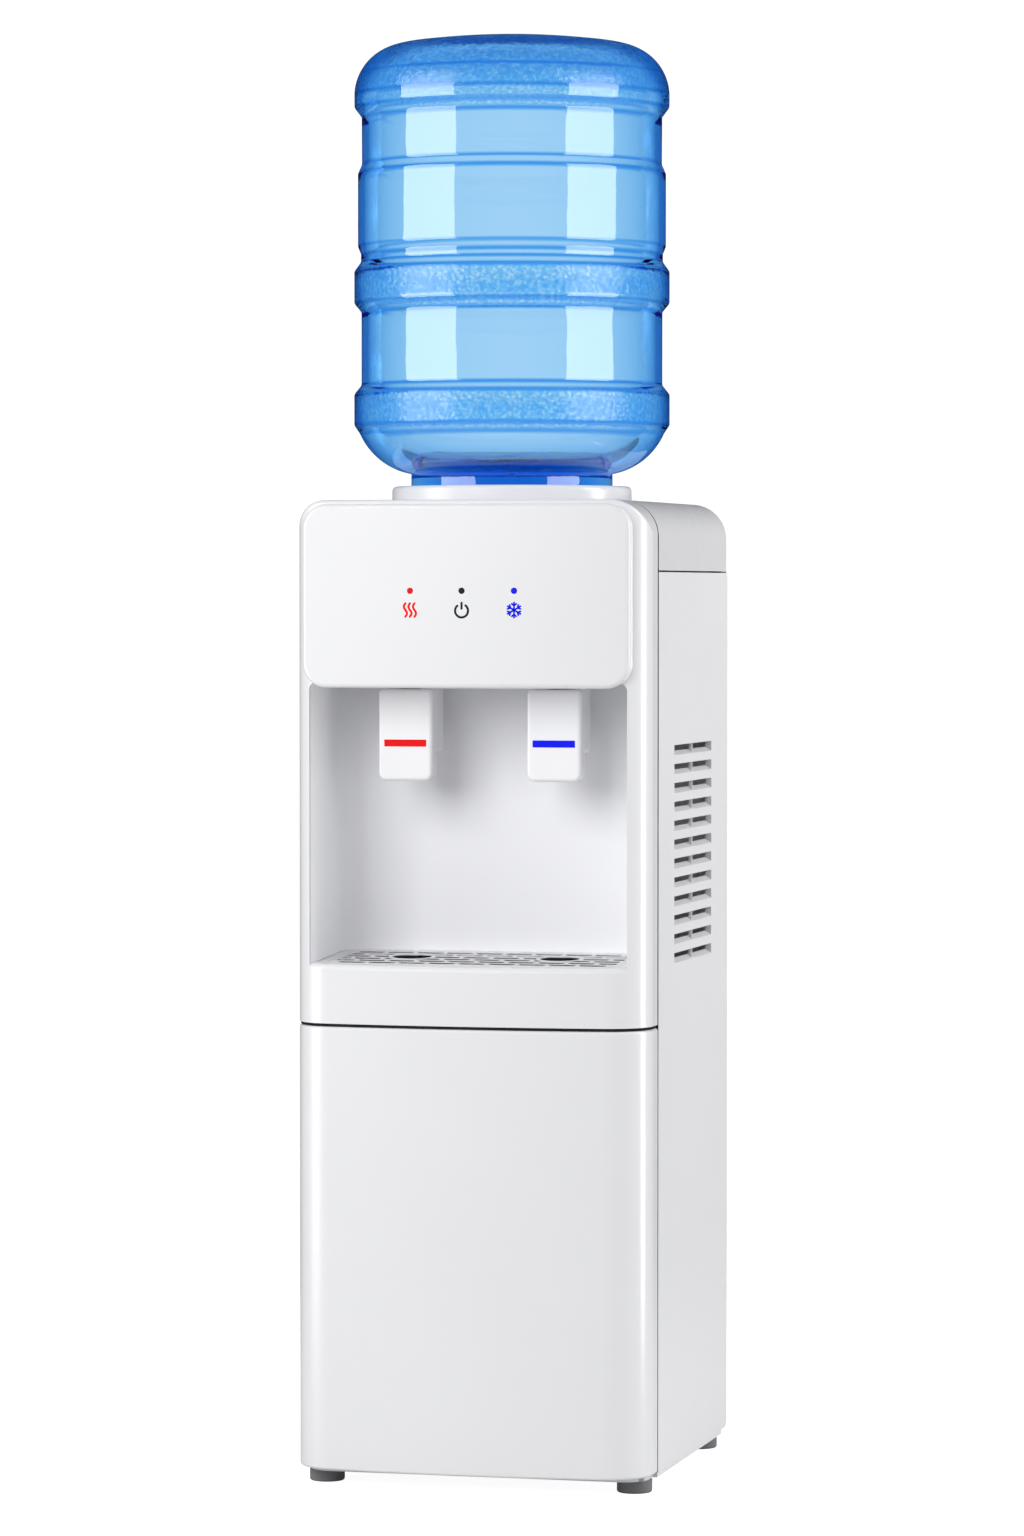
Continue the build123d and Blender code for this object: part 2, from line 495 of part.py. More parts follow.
def tap_body(xt):
    b = pad_z(xt - 20, xt + 20, -97, -58, 623, 682, 4.0)
    low = [e for e in b.edges() if abs(e.bounding_box().max.Z - 623) < 0.01]
    b = fillet(low, 3.9)
    b = b + rod_z(xt, SPOUT_Y, 607, 625, 8.5)
    b = b + rod_y(xt, 640, -60, ALCOVE_BACK, 14.0) + rod_y(xt, 640, ALCOVE_BACK, -27, 10.5) + rod_y(xt, 640, -27, -20, 6.5)
    b = b - rod_y(xt, 640, SPOUT_Y, 10, 4.5)
    b = b - rod_z(xt, SPOUT_Y, 628, 650, 8.0)
    b = b - rod_z(xt, SPOUT_Y, 600, 630, 5.5)
    b = b - rod_z(xt, SPOUT_Y, 645, 660, 3.06)
    b = b - box(xt - 9, xt + 9, -100, -63, 655, 679)
    b = b - rod_x(PIVOT_Y, PIVOT_Z, xt - 18, xt + 18, 2.5)
    return b


def lever(xt):
    p = box(xt - 23.7, xt + 23.7, LEVER_FACE, -100, 599.5, 677.5)
    vert = sorted(p.edges().filter_by(Axis.Y), key=lambda e: e.center().Z)
    p = fillet(vert[:2], 7.0)
    vert = sorted(p.edges().filter_by(Axis.Y), key=lambda e: e.center().Z)
    p = fillet([e for e in vert if e.center().Z > 677], 4.5)
    face = [e for e in p.edges() if abs(e.bounding_box().max.Y - LEVER_FACE) < 0.01]
    p = fillet(face, 3.4)
    p = p - pad_y(xt - 21.1, xt + 21.1, 602.1, 674.9, LEVER_FACE + 3.0, -90, 4.0)
    tongue = box(xt - 8, xt + 8, LEVER_FACE + 2, -84, 661.5, 673.5) + box(xt - 8, xt + 8, -84.5, -69, 661.5, 667.0)
    tongue = tongue - box(xt - 3.8, xt + 3.8, -79.5, -60, 650, 680)
    tongue = tongue - rod_x(PIVOT_Y, PIVOT_Z, xt - 20, xt + 20, 2.56)
    p = p + tongue
    p = p - box(xt - 18.4, xt + 18.4, LEVER_FACE - 1, LEVER_FACE + 1.2, 628.7, 634.6)
    return p


def stem(xt):
    s = rod_z(xt, SPOUT_Y, 632, 668, 3.0) + rod_z(xt, SPOUT_Y, 628.3, 634, 6.8) + rod_z(xt, SPOUT_Y, 667.4, 669.4, 6.0)
    return s + rod_z(xt, SPOUT_Y, 669.4, 672.0, 2.6)


def coil(xt):
    h = Helix(pitch=2.2, height=8.0, radius=4.4, center=(xt, SPOUT_Y, 670.2))
    return sweep(Plane(origin=h @ 0, z_dir=h % 0) * Circle(0.5), path=h)


pins, nuts = [], []
for name, s in (("hot", -1), ("cold", 1)):
    xt = s * TAP_X
    save(name + "_tap_body", tap_body(xt))
    save(name + "_lever", lever(xt))
    stripe = pad_y(xt - 18.4, xt + 18.4, 628.7, 634.6, LEVER_FACE - 0.3, LEVER_FACE + 1.2, 0.8)
    save(name + "_lever_stripe", stripe)
    save(name + "_valve_stem", stem(xt))
    save(name + "_return_spring", coil(xt))
    pins.append(rod_x(PIVOT_Y, PIVOT_Z, xt - 18, xt + 18, 2.5).solids()[0])
    hexa = Pos(xt, -29.5, 640) * Rot(90, 0, 0) * extrude(RegularPolygon(17.0, 6), 8)
    nuts.append((hexa - rod_y(xt, 640, -40, 0, 10.5)).solids()[0])
export_step(Compound(children=pins), "parts/lever_pins.step")
export_step(Compound(children=nuts), "parts/tap_nuts.step")

# ---------------------------------------------------------------- tanks
cold = rod_z(0, TANK_Y, 585, 725, COLD_R) - rod_z(0, TANK_Y, 586.5, 723.5, COLD_R - 1.5)
cold = cold - rod_z(0, 0, 715, 730, 9.5)
cold = cold + rod_z(0, TANK_Y, 568, 585, 6.0) - rod_z(0, TANK_Y, 560, 590, 4.4)
cold = cold + rod_x(TANK_Y, 600, COLD_R - 1, 84, 6.0) - rod_x(TANK_Y, 600, COLD_R - 5, 90, 4.4)
save("cold_tank", cold)

jacket = rod_z(0, TANK_Y, 572, 724, COLD_R + 14) - rod_z(0, TANK_Y, 585, 730, COLD_R)
jacket = jacket - rod_z(0, TANK_Y, 560, 590, 6.0) - rod_x(TANK_Y, 600, 50, 90, 6.0)
jacket = jacket - box(-20.5, 20.5, TANK_Y + 50, 150, 629.5, 670.5)
save("cold_tank_jacket", jacket)

hot = rod_z(0, TANK_Y, 405, 530, HOT_R) - rod_z(0, TANK_Y, 406.5, 528.5, HOT_R - 1.5)
hot = hot + (rod_z(0, TANK_Y, 391, 406, 42) - rod_z(0, TANK_Y, 380, 405, 40))
hot = hot - box(-8, 8, TANK_Y, 100, 390, 404.5)
hot = hot - rod_z(0, TANK_Y, 520, 540, 6.0) - rod_z(-26, TANK_Y, 520, 540, 6.0) - rod_z(0, TANK_Y, 400, 410, 5.0)
save("hot_tank", hot)

band = rod_z(0, TANK_Y, 440, 482, HOT_R + 3) - rod_z(0, TANK_Y, 430, 490, HOT_R)
band = band - box(-5, 5, TANK_Y + 30, 120, 430, 490)
for s in (-1, 1):
    band = band + box(min(s * 5, s * 8), max(s * 5, s * 8), TANK_Y + HOT_R - 0.5, TANK_Y + HOT_R + 14, 440, 482)
band = band - rod_x(TANK_Y + HOT_R + 8.5, 461, -20, 20, 2.5) - rod_z(0, TANK_Y, 430, 490, HOT_R)
save("heater_band", band)

thermos = []
for x, z in ((-17, 508), (17, 508)):
    d = rod_y(x, z, -16, 10, 8.5) + box(x - 5, x + 5, -22, -16, z - 3, z + 3)
    thermos.append((d - rod_z(0, TANK_Y, 480, 540, HOT_R)).solids()[0])
export_step(Compound(children=thermos), "parts/thermostats.step")

feed = rod_z(0, TANK_Y, 500, 568, 6.0) - rod_z(0, TANK_Y, 490, 575, 4.4)
save("transfer_pipe", feed)

drain_pts = [(0, TANK_Y, 405.5), (0, TANK_Y, DRAIN_Z), (0, 167.0, DRAIN_Z)]
drain_in = [(0, TANK_Y, 420), (0, TANK_Y, DRAIN_Z), (0, 180.0, DRAIN_Z)]
drain = tube_path(drain_pts, 5.0) - tube_path(drain_in, 3.4)
save("drain_pipe", drain)

plug = rod_y(0, DRAIN_Z, BACK_Y + BACK_T + 0.5, 171.5, 8.5) - rod_y(0, DRAIN_Z, 150, 167.6, 5.08)
plug = fillet([e for e in plug.edges().filter_by(GeomType.CIRCLE) if e.center().Y > 171.4], 1.5)
save("drain_plug", plug)

cold_pts = [(84, TANK_Y, 600), (100, TANK_Y, 600), (100, -13, 640), (TAP_X, -13, 640), (TAP_X, -20, 640)]
cold_hose = tube_path(cold_pts, 6.5) - tube_path([(70, TANK_Y, 600)] + cold_pts[1:-1] + [(TAP_X, -30, 640)], 4.4)
save("cold_hose", cold_hose)
hot_pts = [(-26, TANK_Y, 522), (-26, TANK_Y, 548), (-100, TANK_Y, 560), (-100, -13, 640), (-TAP_X, -13, 640), (-TAP_X, -20, 640)]
hot_hose = tube_path(hot_pts, 6.0) - tube_path([(-26, TANK_Y, 500)] + hot_pts[1:-1] + [(-TAP_X, -30, 640)], 4.4)
save("hot_hose", hot_hose)

# ---------------------------------------------------------------- cooling unit
cooler = box(-20, 20, 90, 117, 630, 670) - rod_z(0, TANK_Y, 600, 700, COLD_R)
save("cold_block", cooler)
module = box(-20, 20, 117, 120.6, 630, 670)
save("peltier_module", module)
sink = box(-46, 46, 120.6, 125, FAN_Z - 46, FAN_Z + 46)
for i in range(16):
    x = -45.0 + i * 6.0
    sink = sink + box(x - 0.7, x + 0.7, 125, 143.4, FAN_Z - 46, FAN_Z + 46)
save("heat_sink", sink)

FAN_Y0, FAN_Y1 = 143.4, BACK_Y
fan_frame = pad_y(-46, 46, FAN_Z - 46, FAN_Z + 46, FAN_Y0, FAN_Y1, 4.0) - rod_y(0, FAN_Z, 130, 170, 43.0)
for a in (30, 150, 270):
    arm = Pos(0, 0, FAN_Z) * Rot(0, a, 0) * Pos(0, 0, -FAN_Z) * box(-2.5, 2.5, 156.0, FAN_Y1, FAN_Z + 8, FAN_Z + 44)
    fan_frame = fan_frame + (arm & rod_y(0, FAN_Z, 100, 200, 45.0))
fan_frame = fan_frame + rod_y(0, FAN_Z, 156.0, FAN_Y1, 14.0) + rod_y(0, FAN_Z, 146.5, 157, 2.0)
save("fan_frame", fan_frame)

rotor = rod_y(0, FAN_Z, 144.4, 155.4, 16.0)
for i in range(7):
    blade = box(-0.7, 0.7, 144.0, 155.8, 14, 41.4)
    blade = Pos(0, 150, 0) * Rot(0, 0, 38) * Pos(0, -150, 0) * blade
    blade = blade & box(-60, 60, 144.4, 155.4, 0, 60)
    rotor = rotor + Pos(0, 0, FAN_Z) * Rot(0, i * 360 / 7, 0) * blade
rotor = rotor - rod_y(0, FAN_Z, 146.0, 160, 2.05)
save("fan_rotor", rotor)

# ---------------------------------------------------------------- electrics
pcb = box(-110, 30, 77, 78.6, 170, 300)
pcb = pcb + box(-98, -38, 78.6, 122, 196, 256) + box(-20, 16, 78.6, 96, 180, 196) + box(-16, 4, 78.6, 104, 252, 286)
for x, z in ((-14, 222), (4, 222), (-14, 238)):
    pcb = pcb + rod_y(x, z, 78.6, 100, 7.0)
for x in (-104, 24):
    for z in (176, 294):
        pcb = pcb + rod_y(x, z, 72, 77, 3.0)
save("power_board", pcb)

frames = []
for key, x in SWITCHES.items():
    f = pad_y(x - 12, x + 12, SWITCH_Z - 16, SWITCH_Z + 16, BACK_Y + BACK_T, BACK_Y + BACK_T + 2, 1.5)
    f = f + box(x - 10, x + 10, 144, BACK_Y + BACK_T + 0.5, SWITCH_Z - 14, SWITCH_Z + 14)
    f = f - box(x - 7, x + 7, 148, 175, SWITCH_Z - 11.8, SWITCH_Z + 11.8)
    f = f - rod_x(156.0, SWITCH_Z, x - 9, x + 9, 1.56)
    frames.append(f.solids()[0])
    rock = prism_x([(163.6, -10.3), (160.9, 0), (163.6, 10.3), (155, 9.0), (152.6, 3.0), (152.6, -3.0), (155, -9.0)],
                   x - 6.6, x + 6.6)
    rock = rock + rod_x(156.0, 0, x - 8.8, x + 8.8, 1.5)
    rock = Pos(0, 156.0, SWITCH_Z) * Rot(-8, 0, 0) * Pos(0, -156.0, 0) * rock
    save(key + "_switch", rock)
export_step(Compound(children=frames), "parts/switch_frames.step")

gland = rod_y(GLAND_X, GLAND_Z, 150, BACK_Y + BACK_T, 8.0) + rod_y(GLAND_X, GLAND_Z, BACK_Y + BACK_T, 165.0, 12.0)
gland = fillet([e for e in gland.edges().filter_by(GeomType.CIRCLE) if e.center().Y > 164.9], 1.5)
gland = gland - rod_y(GLAND_X, GLAND_Z, 140, 180, 4.2)
save("cord_gland", gland)
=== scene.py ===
import json
from math import sin, cos, pi, radians, sqrt, hypot, atan2, tan
import bpy
import bmesh
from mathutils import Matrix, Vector


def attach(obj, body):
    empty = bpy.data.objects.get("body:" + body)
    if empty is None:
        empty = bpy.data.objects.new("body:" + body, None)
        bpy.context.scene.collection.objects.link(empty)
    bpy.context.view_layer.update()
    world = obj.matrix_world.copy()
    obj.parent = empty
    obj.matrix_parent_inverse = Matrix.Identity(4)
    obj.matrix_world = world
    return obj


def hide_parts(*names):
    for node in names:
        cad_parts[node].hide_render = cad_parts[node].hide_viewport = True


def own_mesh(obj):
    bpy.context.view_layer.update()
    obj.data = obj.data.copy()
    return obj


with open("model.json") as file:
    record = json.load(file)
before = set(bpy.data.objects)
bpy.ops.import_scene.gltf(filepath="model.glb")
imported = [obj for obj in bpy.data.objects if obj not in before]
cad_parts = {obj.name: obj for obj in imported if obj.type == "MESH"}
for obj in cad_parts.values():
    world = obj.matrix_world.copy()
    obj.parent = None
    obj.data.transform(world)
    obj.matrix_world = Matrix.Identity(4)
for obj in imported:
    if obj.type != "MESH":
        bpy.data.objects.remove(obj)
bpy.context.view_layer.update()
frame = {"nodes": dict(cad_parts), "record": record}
NODES = frame["nodes"]
scene = bpy.context.scene


# ------------------------------------------------------------------ node helpers
def new_material(name):
    m = bpy.data.materials.new(name)
    m.use_nodes = True
    nt = m.node_tree
    for n in list(nt.nodes):
        nt.nodes.remove(n)
    out = nt.nodes.new("ShaderNodeOutputMaterial")
    bsdf = nt.nodes.new("ShaderNodeBsdfPrincipled")
    nt.links.new(bsdf.outputs["BSDF"], out.inputs["Surface"])
    return m, nt, bsdf, out


def coords(nt):
    return nt.nodes.new("ShaderNodeTexCoord").outputs["Object"]


def noise(nt, where, scale, detail=2.0, rough=0.5, distort=0.0):
    n = nt.nodes.new("ShaderNodeTexNoise")
    n.inputs["Scale"].default_value = scale
    n.inputs["Detail"].default_value = detail
    n.inputs["Roughness"].default_value = rough
    n.inputs["Distortion"].default_value = distort
    nt.links.new(where, n.inputs["Vector"])
    return n.outputs["Fac"]


def voronoi(nt, where, scale, feature="F1"):
    n = nt.nodes.new("ShaderNodeTexVoronoi")
    n.feature = feature
    n.inputs["Scale"].default_value = scale
    nt.links.new(where, n.inputs["Vector"])
    return n.outputs["Distance"]


def stretch(nt, where, sx, sy, sz):
    n = nt.nodes.new("ShaderNodeMapping")
    n.inputs["Scale"].default_value = (sx, sy, sz)
    nt.links.new(where, n.inputs["Vector"])
    return n.outputs["Vector"]


def remap(nt, value, a, b, lo, hi):
    n = nt.nodes.new("ShaderNodeMapRange")
    n.inputs["From Min"].default_value = a
    n.inputs["From Max"].default_value = b
    n.inputs["To Min"].default_value = lo
    n.inputs["To Max"].default_value = hi
    nt.links.new(value, n.inputs["Value"])
    return n.outputs["Result"]


def maths(nt, op, a, b=None):
    n = nt.nodes.new("ShaderNodeMath")
    n.operation = op
    for k, v in enumerate((a, b)):
        if v is None:
            continue
        if isinstance(v, (int, float)):
            n.inputs[k].default_value = v
        else:
            nt.links.new(v, n.inputs[k])
    return n.outputs["Value"]


def blend(nt, fac, a, b):
    n = nt.nodes.new("ShaderNodeMix")
    n.data_type = "RGBA"
    nt.links.new(fac, n.inputs["Factor"])
    for key, v in (("A", a), ("B", b)):
        socket = [s for s in n.inputs if s.name == key and s.type == "RGBA"][0]
        if isinstance(v, (tuple, list)):
            socket.default_value = (*v, 1.0)
        else:
            nt.links.new(v, socket)
    return [s for s in n.outputs if s.type == "RGBA"][0]


def bump(nt, height, distance, strength=1.0, under=None):
    n = nt.nodes.new("ShaderNodeBump")
    n.inputs["Strength"].default_value = strength
    n.inputs["Distance"].default_value = distance
    nt.links.new(height, n.inputs["Height"])
    if under is not None:
        nt.links.new(under, n.inputs["Normal"])
    return n.outputs["Normal"]


def shade(colour, f):
    return tuple(c * f for c in colour)


# ------------------------------------------------------------------ materials
def moulded(name, colour, rough, spread=0.05, peel=0.000004, grain=0.0, grain_scale=1800.0, drift=0.03, spec=0.5,
            mottle=None, painted_glow=0.0):
    """Injection-moulded plastic: slow drift of colour and gloss, a faint orange peel and, if asked, a fine eroded grain
    and a glow in its own colour, which is painted light.
    """
    m, nt, b, _ = new_material(name)
    # A glow in the plastic's own colour is painted light, not a lamp.
    b.inputs["Emission Color"].default_value = (*colour, 1.0)
    b.inputs["Emission Strength"].default_value = painted_glow
    at = coords(nt)
    slow = noise(nt, at, 9.0, 2.0)
    mid = noise(nt, at, 60.0, 3.0)
    b.inputs["Specular IOR Level"].default_value = spec
    dark = mottle or shade(colour, 1 - drift)
    nt.links.new(blend(nt, remap(nt, slow, 0.35, 0.65, 0.0, 1.0), colour, dark), b.inputs["Base Color"])
    both = maths(nt, "ADD", maths(nt, "MULTIPLY", slow, 0.5), maths(nt, "MULTIPLY", mid, 0.5))
    nt.links.new(remap(nt, both, 0.3, 0.7, rough - spread, rough + spread), b.inputs["Roughness"])
    n = bump(nt, noise(nt, at, 260.0, 2.0), peel) if peel else None
    if grain:
        n = bump(nt, noise(nt, at, grain_scale, 2.0, 0.6), grain, under=n)
    if n:
        nt.links.new(n, b.inputs["Normal"])
    return m


def coated(name, colour, rough):
    """Powder coat on sheet steel."""
    m, nt, b, _ = new_material(name)
    at = coords(nt)
    slow = noise(nt, at, 7.0, 2.0)
    nt.links.new(blend(nt, remap(nt, slow, 0.35, 0.65, 0.0, 1.0), colour, shade(colour, 0.975)), b.inputs["Base Color"])
    nt.links.new(remap(nt, noise(nt, at, 90.0, 3.0), 0.3, 0.7, rough - 0.06, rough + 0.06), b.inputs["Roughness"])
    cells = voronoi(nt, at, 700.0, "SMOOTH_F1")
    nt.links.new(bump(nt, cells, 0.00003, under=bump(nt, noise(nt, at, 220.0, 2.0), 0.00002)), b.inputs["Normal"])
    return m


def metal(name, colour, rough, lines=(1.0, 1.0, 40.0), depth=0.000004, scale=60.0, spangle=False):
    """Brushed, extruded or plated metal. The lines run across the axis with the large factor."""
    m, nt, b, _ = new_material(name)
    b.inputs["Metallic"].default_value = 1.0
    at = coords(nt)
    brushed = noise(nt, stretch(nt, at, *lines), scale, 4.0, 0.65)
    if spangle:
        cells = voronoi(nt, at, 90.0)
        nt.links.new(blend(nt, remap(nt, cells, 0.0, 0.7, 0.0, 1.0), shade(colour, 1.08), shade(colour, 0.82)), b.inputs["Base Color"])
        nt.links.new(remap(nt, cells, 0.0, 0.7, rough - 0.08, rough + 0.1), b.inputs["Roughness"])
    else:
        nt.links.new(blend(nt, brushed, shade(colour, 0.86), shade(colour, 1.1)), b.inputs["Base Color"])
        nt.links.new(remap(nt, brushed, 0.25, 0.75, rough - 0.08, rough + 0.1), b.inputs["Roughness"])
    nt.links.new(bump(nt, brushed, depth), b.inputs["Normal"])
    return m


def ink(name, colour, rough=0.45, spec=0.18):
    """Printed or dyed-through colour with a faint mottling."""
    m, nt, b, _ = new_material(name)
    at = coords(nt)
    b.inputs["Specular IOR Level"].default_value = spec
    fine = noise(nt, at, 900.0, 3.0)
    nt.links.new(blend(nt, remap(nt, fine, 0.3, 0.7, 0.0, 1.0), colour, shade(colour, 0.9)), b.inputs["Base Color"])
    nt.links.new(remap(nt, fine, 0.3, 0.7, rough - 0.06, rough + 0.06), b.inputs["Roughness"])
    nt.links.new(bump(nt, fine, 0.000004), b.inputs["Normal"])
    return m


def rubbery(name, colour, rough, clear=0.0):
    m, nt, b, _ = new_material(name)
    at = coords(nt)
    fine = noise(nt, at, 700.0, 4.0, 0.6)
    slow = noise(nt, at, 40.0, 2.0)
    b.inputs["Specular IOR Level"].default_value = 0.35
    if clear:
        b.inputs["Subsurface Weight"].default_value = clear
        b.inputs["Subsurface Radius"].default_value = (0.004, 0.004, 0.0035)
    nt.links.new(blend(nt, remap(nt, slow, 0.3, 0.7, 0.0, 1.0), colour, shade(colour, 0.9)), b.inputs["Base Color"])
    nt.links.new(remap(nt, fine, 0.3, 0.7, rough - 0.08, rough + 0.08), b.inputs["Roughness"])
    nt.links.new(bump(nt, fine, 0.00003), b.inputs["Normal"])
    return m


def bead_foam(name, colour):
    m, nt, b, _ = new_material(name)
    at = coords(nt)
    cells = voronoi(nt, at, 300.0)
    edge = remap(nt, cells, 0.25, 0.65, 0.0, 1.0)
    nt.links.new(blend(nt, edge, colour, shade(colour, 0.8)), b.inputs["Base Color"])
    nt.links.new(remap(nt, cells, 0.0, 0.7, 0.75, 0.95), b.inputs["Roughness"])
    nt.links.new(bump(nt, maths(nt, "SUBTRACT", 1.0, cells), 0.0008), b.inputs["Normal"])
    return m


def circuit(name):
    """Solder mask over copper tracks, with pale pads."""
    m, nt, b, _ = new_material(name)
    at = coords(nt)
    n = nt.nodes.new("ShaderNodeTexBrick")
    n.inputs["Scale"].default_value = 90.0
    n.inputs["Mortar Size"].default_value = 0.035
    n.inputs["Color1"].default_value = (0.012, 0.10, 0.035, 1)
    n.inputs["Color2"].default_value = (0.015, 0.12, 0.045, 1)
    n.inputs["Mortar"].default_value = (0.035, 0.22, 0.085, 1)
    turn = nt.nodes.new("ShaderNodeMapping")
    turn.inputs["Rotation"].default_value = (radians(90), 0, 0)
    nt.links.new(at, turn.inputs["Vector"])
    nt.links.new(turn.outputs["Vector"], n.inputs["Vector"])
    dots = remap(nt, voronoi(nt, at, 160.0), 0.10, 0.14, 1.0, 0.0)
    nt.links.new(blend(nt, dots, n.outputs["Color"], (0.55, 0.55, 0.5)), b.inputs["Base Color"])
    nt.links.new(remap(nt, noise(nt, at, 120.0, 2.0), 0.3, 0.7, 0.25, 0.4), b.inputs["Roughness"])
    nt.links.new(bump(nt, n.outputs["Fac"], 0.00003), b.inputs["Normal"])
    return m


WHITE = (0.845, 0.847, 0.868)
MAT = {
    "white_gloss": moulded("white_gloss", WHITE, 0.235, 0.025, 0.000003, drift=0.012),
    # Painted light: the alcove liner is a lighter white than the casing and glows faintly, standing in for light
    # falling into the alcove.
    "alcove_white_painted_light": moulded("alcove_white_painted_light", (0.905, 0.908, 0.930), 0.40, 0.05, 0.000004, 0.000008, 1500.0, 0.008, painted_glow=0.018),
    "lever_white": moulded("lever_white", WHITE, 0.235, 0.025, 0.000003, drift=0.012),
    "white_satin": moulded("white_satin", shade(WHITE, 0.99), 0.46, 0.05, 0.000004, 0.000012, 1500.0, 0.012),
    "white_panel": moulded("white_panel", shade(WHITE, 0.985), 0.42, 0.05, 0.000004, 0.000010, 1600.0, 0.012),
    "white_coat": coated("white_coat", shade(WHITE, 0.97), 0.42),
    "grille_white": moulded("grille_white", shade(WHITE, 0.97), 0.45, 0.05, 0.000004, 0.000012, 1500.0, 0.02),
    "foot_grey": rubbery("foot_grey", (0.215, 0.218, 0.230), 0.50),
    "cap_blue": moulded("cap_blue", (0.03, 0.16, 0.55), 0.42, 0.06, 0.000006, 0.00001, 1500.0, 0.08),
    "stripe_red": ink("stripe_red", (0.92, 0.008, 0.010), 0.4),
    "stripe_blue": ink("stripe_blue", (0.006, 0.012, 0.94), 0.4),
    "lens_red": ink("lens_red", (0.80, 0.006, 0.008), 0.25, 0.3),
    "lens_black": ink("lens_black", (0.022, 0.022, 0.024), 0.25, 0.3),
    "lens_blue": ink("lens_blue", (0.004, 0.010, 0.85), 0.25, 0.3),
    "stainless": metal("stainless", (0.62, 0.62, 0.63), 0.30),
    "zinc_steel": metal("zinc_steel", (0.58, 0.59, 0.61), 0.38, spangle=True),
    "alloy": metal("alloy", (0.78, 0.78, 0.79), 0.36, (40.0, 1.0, 1.0)),
    "foam": bead_foam("foam", (0.86, 0.86, 0.84)),
    "silicone": rubbery("silicone", (0.72, 0.73, 0.72), 0.45, 0.4),
    "black_plastic": moulded("black_plastic", (0.018, 0.018, 0.019), 0.45, 0.07, 0.000006, 0.000014, 1500.0, 0.25),
    "circuit_green": circuit("circuit_green"),
    "module_white": moulded("module_white", (0.80, 0.80, 0.77), 0.7, 0.06, 0.000003, 0.00001, 2400.0, 0.05),
}


def basin(name, outside, painted_shade, rough):
    """Drip tray basin: the rim's top in one colour, and everything under the tilted plane of the ledge in a dark colour
    that is painted shade for the shadow in the cells and holes.
    """
    m, nt, b, _ = new_material(name)
    at = coords(nt)
    split = nt.nodes.new("ShaderNodeSeparateXYZ")
    nt.links.new(at, split.inputs["Vector"])
    drop = maths(nt, "MULTIPLY", maths(nt, "ADD", split.outputs["Y"], 0.040), tan(radians(2.8)))
    height = maths(nt, "SUBTRACT", split.outputs["Z"], drop)
    fine = noise(nt, at, 1500.0, 2.0, 0.6)
    slow = noise(nt, at, 40.0, 2.0)
    dark = blend(nt, slow, painted_shade, shade(painted_shade, 0.8))
    pale = blend(nt, slow, outside, shade(outside, 0.985))
    nt.links.new(blend(nt, remap(nt, height, 0.4494, 0.4498, 0.0, 1.0), dark, pale), b.inputs["Base Color"])
    nt.links.new(remap(nt, slow, 0.3, 0.7, rough - 0.05, rough + 0.05), b.inputs["Roughness"])
    nt.links.new(bump(nt, fine, 0.000012), b.inputs["Normal"])
    return m


# The tray's dark basin colour is painted shade in its cells and holes.
MAT["tray_grey"] = basin("tray_grey", WHITE, (0.030, 0.030, 0.033), 0.48)


